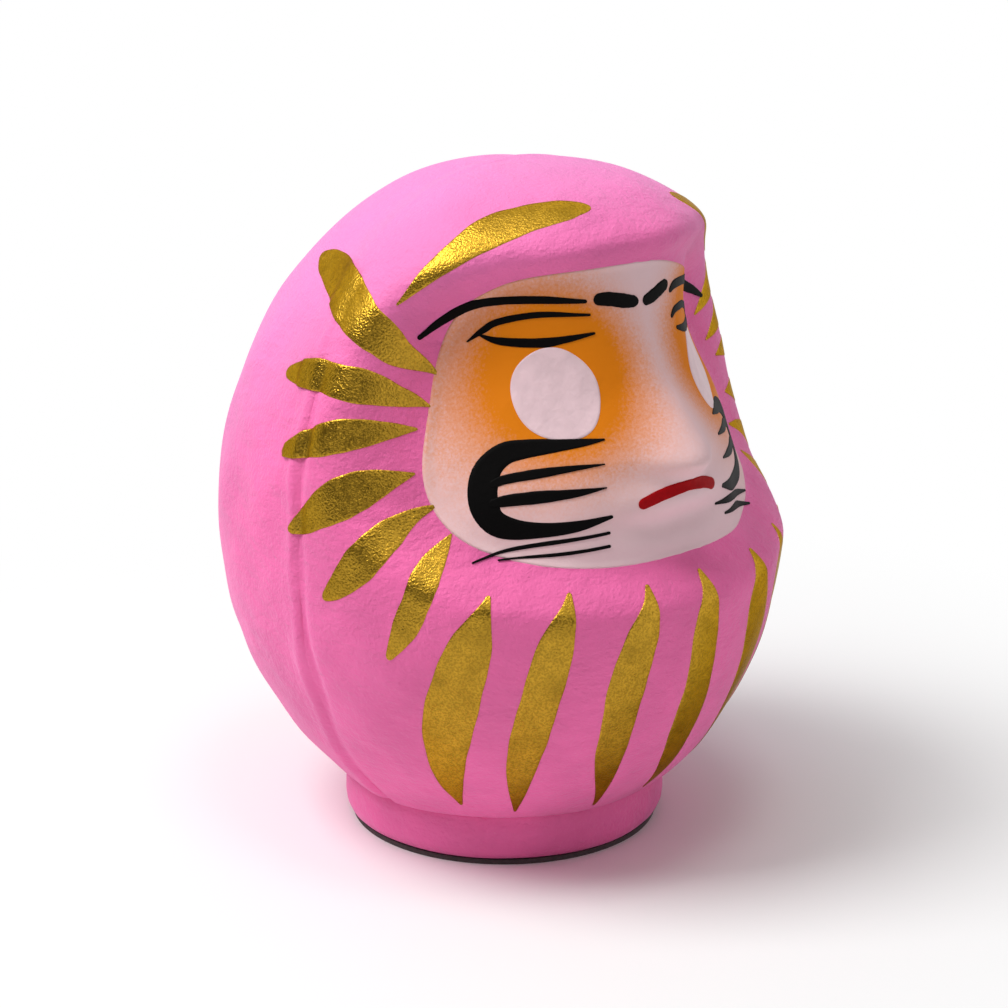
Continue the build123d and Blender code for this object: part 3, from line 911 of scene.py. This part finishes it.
class DARUMA_OT_face_marks(bpy.types.Operator):
    """Black brows, lids, whiskers and chin lines, and the red mouth"""
    bl_idname = "daruma.face_marks"
    bl_label = "Face marks"

    def execute(self, context):
        settings = context.scene.daruma_doll
        black = brushed_colour("ink_black_brushed", settings.black, roughness=0.6)
        red = brushed_colour("poster_paint_red_brushed", settings.red, roughness=0.55)
        for seed, (name, knots) in enumerate(FACE_MARKS.items()):
            add_marks(name, [knots], black, MARK_LIFT, seed)
        add_marks("whisker_right", RIGHT_WHISKER, black, MARK_LIFT, seed=40)
        add_marks("whisker_left", LEFT_WHISKER, black, MARK_LIFT, seed=50)
        add_marks("mouth", [MOUTH], red, MARK_LIFT, seed=60)
        return {"FINISHED"}


class DARUMA_OT_gold(bpy.types.Operator):
    """Gold strokes round the face and down the belly"""
    bl_idname = "daruma.gold"
    bl_label = "Gold strokes"

    def execute(self, context):
        settings = context.scene.daruma_doll
        material = gold_paint(settings)
        lift = settings.gold_lift / MM
        for index, knots in enumerate(RIGHT_GOLD):
            add_marks(f"gold_side_{index + 1}_right", [knots], material, lift, 70 + index)
            other = mirrored(knots, LEFT_FURTHER) if index else LEFT_HOOD_GOLD
            add_marks(f"gold_side_{index + 1}_left", [other], material, lift, 90 + index)
        for index, knots in enumerate(BELLY):
            add_marks(f"gold_belly_{index + 1}", [knots], material, lift, 110 + index)
        return {"FINISHED"}


class DARUMA_OT_stage(bpy.types.Operator):
    """Pale floor, soft lamps, white surround and the camera"""
    bl_idname = "daruma.stage"
    bl_label = "Stage"

    def execute(self, context):
        floor_mesh = bpy.data.meshes.new("floor")
        half = 3.0
        corners = [(-half, -half, 0), (half, -half, 0), (half, half, 0), (-half, half, 0)]
        floor_mesh.from_pydata(corners, [], [(0, 1, 2, 3)])
        floor = bpy.data.objects.new("floor", floor_mesh)
        context.scene.collection.objects.link(floor)
        floor_mesh.materials.append(self.floor_paper())
        self.surround(context.scene)
        self.lamp("key", place=(-0.38, 0.20, 0.66), size=0.4, watts=4.9)
        self.lamp("overhead", place=(-0.04, -0.17, 0.85), size=0.2, watts=0.7)
        self.card("dark_card_around", first=-140.0, last=-10.0, distance=0.75, height=0.36)
        self.card("dark_card_tall", first=-125.0, last=-102.0, distance=0.60, height=0.58)
        self.camera(context.scene)
        return {"FINISHED"}

    def floor_paper(self):
        """White paper sweep that keeps the shadow near the doll and goes to plain white further out."""
        material, add, place = new_material("white_paper_sweep")
        distance = add("VectorMath", "Value", {"operation": "LENGTH"}, i0=place)
        paper = add("BsdfDiffuse", Color=(0.93, 0.93, 0.93, 1))
        glow = add("Emission", Color=(1, 1, 1, 1), Strength=1.0)
        far = add("MapRange", settings=SMOOTH, Value=distance, From_Min=0.03, From_Max=0.17)
        share = add("Math", settings={"operation": "MULTIPLY"}, i0=far, i1=self.seen_rays(add))
        mixed = add("MixShader", i0=share, i1=paper, i2=glow)
        add("OutputMaterial", Surface=mixed)
        return material

    def seen_rays(self, add):
        """1 for rays from the camera and for those seen in gloss or through glass."""
        total = add("LightPath", "Is Camera Ray")
        for name in ("Is Glossy Ray", "Is Transmission Ray"):
            total = add("Math", settings={"operation": "ADD", "use_clamp": True}, i0=total,
                        i1=add("LightPath", name))
        return total

    def surround(self, scene):
        """White surround: dim for lighting the doll, full white where it is seen."""
        world = bpy.data.worlds.new("surround")
        scene.world = world
        world.use_nodes = True
        world.node_tree.nodes.clear()
        add = partial(add_node, world.node_tree)
        light = add("Background", Color=(1, 1, 1, 1), Strength=0.4)
        seen = add("Background", Color=(1, 1, 1, 1), Strength=1.0)
        mixed = add("MixShader", i0=self.seen_rays(add), i1=light, i2=seen)
        add("OutputWorld", Surface=mixed)

    def lamp(self, name, place, size, watts):
        """Square soft lamp aimed at the middle of the doll."""
        data = bpy.data.lights.new(name, "AREA")
        data.size = size
        data.energy = watts
        lamp = bpy.data.objects.new(name, data)
        bpy.context.scene.collection.objects.link(lamp)
        aim = np.array(place) - np.array([0, 0, WIDEST_Z * MM])
        aim /= np.linalg.norm(aim)
        side = np.cross([0, 0, 1.0], aim)
        side /= np.linalg.norm(side)
        turn = np.column_stack([side, np.cross(aim, side), aim])
        lamp.matrix_world = Matrix.Translation(place) @ Matrix(turn.tolist()).to_4x4()

    def card(self, name, first, last, distance, height):
        """Upright bent card for the metallic paint to mirror; the camera looks through it."""
        turn = np.radians(np.linspace(first, last, 14))
        lower = np.stack([np.sin(turn) * distance, -np.cos(turn) * distance, 0 * turn], axis=-1)
        points = np.concatenate([lower, lower + [0, 0, height]])
        mesh = bpy.data.meshes.new(name)
        mesh.from_pydata(points.tolist(), [], grid_quads(2, len(turn)))
        board = bpy.data.objects.new(name, mesh)
        bpy.context.scene.collection.objects.link(board)
        material, add, _ = new_material(name)
        dull = add("BsdfDiffuse", Color=(0.01, 0.01, 0.01, 1))
        clear = add("BsdfTransparent", Color=(1, 1, 1, 1))
        looked_through = add("LightPath", "Is Camera Ray")
        mixed = add("MixShader", i0=looked_through, i1=dull, i2=clear)
        add("OutputMaterial", Surface=mixed)
        mesh.materials.append(material)

    def camera(self, scene):
        """Camera to the doll's right and a little above, aimed at the middle of its height."""
        turn, rise, distance = np.radians(41.6), np.radians(17.47), 0.470
        target = np.array([0, 0, 0.0533])
        ahead = np.array([-np.sin(turn) * np.cos(rise), -np.cos(turn) * np.cos(rise), np.sin(rise)])
        side = np.array([np.cos(turn), -np.sin(turn), 0])
        axes = Matrix(np.column_stack([side, np.cross(ahead, side), ahead]).tolist())
        data = bpy.data.cameras.new("camera")
        data.sensor_width = 36.0
        data.lens = 101.5
        data.clip_start = 0.01
        camera = bpy.data.objects.new("camera", data)
        scene.collection.objects.link(camera)
        camera.matrix_world = Matrix.Translation(target + ahead * distance) @ axes.to_4x4()
        scene.camera = camera
        scene.view_settings.view_transform = "Standard"


PIECE_OPERATORS = (DARUMA_OT_body, DARUMA_OT_strip, DARUMA_OT_foot, DARUMA_OT_face_ground, DARUMA_OT_eyes,
                   DARUMA_OT_face_marks, DARUMA_OT_gold, DARUMA_OT_stage)


class DARUMA_PT_panel(bpy.types.Panel):
    """Settings and the build steps in order"""
    bl_idname = "DARUMA_PT_panel"
    bl_label = "Daruma Doll"
    bl_space_type = "VIEW_3D"
    bl_region_type = "UI"
    bl_category = "Daruma"

    def draw(self, context):
        settings = context.scene.daruma_doll
        for name in settings.bl_rna.properties.keys():
            if name not in ("rna_type", "name"):
                self.layout.prop(settings, name)
        for operator in PIECE_OPERATORS:
            self.layout.operator(operator.bl_idname)


CLASSES = (DollSettings,) + PIECE_OPERATORS + (DARUMA_PT_panel,)


def register():
    for cls in CLASSES:
        bpy.utils.register_class(cls)
    bpy.types.Scene.daruma_doll = bpy.props.PointerProperty(type=DollSettings)


def unregister():
    del bpy.types.Scene.daruma_doll
    for cls in reversed(CLASSES):
        bpy.utils.unregister_class(cls)


def main():
    """Builds the doll piece by piece."""
    register()
    for operator in PIECE_OPERATORS:
        group, name = operator.bl_idname.split(".")
        getattr(getattr(bpy.ops, group), name)()


if __name__ == "__main__":
    main()
